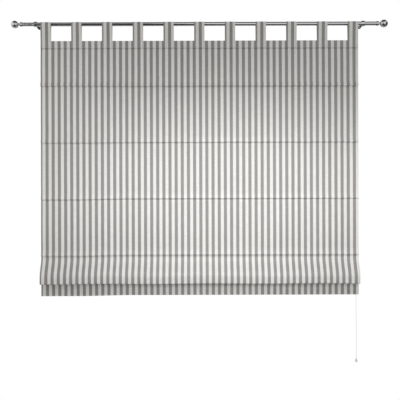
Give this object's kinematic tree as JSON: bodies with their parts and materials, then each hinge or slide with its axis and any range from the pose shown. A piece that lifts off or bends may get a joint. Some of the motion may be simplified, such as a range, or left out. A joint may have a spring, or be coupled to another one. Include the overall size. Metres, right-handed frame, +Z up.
{
  "type": "tab-top roman blind",
  "caption": "Striped cloth roman blind hung by tabs on a ball-ended pole with ring brackets, its lowest pleat gathered, worked by a pull cord and cord lock.",
  "frame": {"origin": "on the wall plane, midway between the two brackets, at the height of the pole's axis", "axes": "+X to the viewer's right along the pole, +Y into the wall, +Z up; the front faces -Y"},
  "size_m": [1.842, 0.1429, 1.6757],
  "materials": {
    "polished_steel": "polished",
    "plain_steel": "zinc plated",
    "striped_cloth": "woven stripe",
    "batten_wood": "planed softwood",
    "glass_fibre": "pultruded",
    "bar_aluminium": "mill finish",
    "white_plastic": "moulded",
    "braided_cord": "braided"
  },
  "bodies": {
    "frame": {"pole": "polished_steel", "finial_left": "polished_steel", "finial_right": "polished_steel", "bracket_left": "polished_steel", "bracket_right": "polished_steel", "wall_boss_left": "plain_steel", "wall_boss_right": "plain_steel", "bracket_screws": "plain_steel", "tab_1": "striped_cloth", "tab_2": "striped_cloth", "tab_3": "striped_cloth", "tab_4": "striped_cloth", "tab_5": "striped_cloth", "tab_6": "striped_cloth", "tab_7": "striped_cloth", "tab_8": "striped_cloth", "tab_9": "striped_cloth", "tab_10": "striped_cloth", "tab_11": "striped_cloth", "blind_cloth": "striped_cloth", "header_batten": "batten_wood", "screw_eyes": "plain_steel", "lock_housing": "white_plastic", "pulley_pin": "plain_steel", "lock_screws": "plain_steel", "lift_cord_1": "braided_cord", "lift_cord_2": "braided_cord", "lift_cord_3": "braided_cord", "lift_cord_4": "braided_cord"},
    "rod_row_1": {"rod_1": "glass_fibre", "rings_1": "white_plastic"},
    "rod_row_2": {"rod_2": "glass_fibre", "rings_2": "white_plastic"},
    "rod_row_3": {"rod_3": "glass_fibre", "rings_3": "white_plastic"},
    "rod_row_4": {"rod_4": "glass_fibre", "rings_4": "white_plastic"},
    "skirt": {"rod_5": "glass_fibre", "rings_5": "white_plastic", "bottom_bar": "bar_aluminium"},
    "pull": {"cord_joiner": "white_plastic", "pull_cord": "braided_cord", "cord_acorn": "white_plastic"},
    "roller": {"lock_roller": "plain_steel"},
    "pulley": {"lock_pulley": "white_plastic"}
  },
  "joints": [
    {"name": "blind_lift", "type": "slide", "parent": "frame", "child": "rod_row_4", "axis": [0, 0, 1], "range_m": [0, 0.957], "deforming": ["blind_cloth", "lift_cord_1", "lift_cord_2", "lift_cord_3", "lift_cord_4"]},
    {"name": "rod_1_lift", "type": "slide", "parent": "frame", "child": "rod_row_1", "axis": [0, 0, 1], "range_m": [0, 0.1766]},
    {"name": "rod_2_lift", "type": "slide", "parent": "frame", "child": "rod_row_2", "axis": [0, 0, 1], "range_m": [0, 0.4369]},
    {"name": "rod_3_lift", "type": "slide", "parent": "frame", "child": "rod_row_3", "axis": [0, 0, 1], "range_m": [0, 0.6972]},
    {"name": "bottom_pleat", "type": "slide", "parent": "rod_row_4", "child": "skirt", "axis": [0, 0, 1], "range_m": [-0.255, 0]},
    {"name": "cord_pull", "type": "slide", "parent": "frame", "child": "pull", "axis": [0, 0, 1], "range_m": [-0.957, 0]},
    {"name": "lock_release", "type": "slide", "parent": "frame", "child": "roller", "axis": [0.8, 0, 0.6], "range_m": [0, 0.005]},
    {"name": "pulley_spin", "type": "hinge", "parent": "frame", "child": "pulley", "pos_m": [0.7582, -0.0815, -0.11025], "axis": [0, 1, 0], "continuous": true}
  ],
  "couplings": [
    {"joint": "rod_1_lift", "follows": "blind_lift", "ratio": 0.18398},
    {"joint": "rod_2_lift", "follows": "blind_lift", "ratio": 0.45598},
    {"joint": "rod_3_lift", "follows": "blind_lift", "ratio": 0.72799},
    {"joint": "cord_pull", "follows": "blind_lift", "ratio": -1}
  ]
}
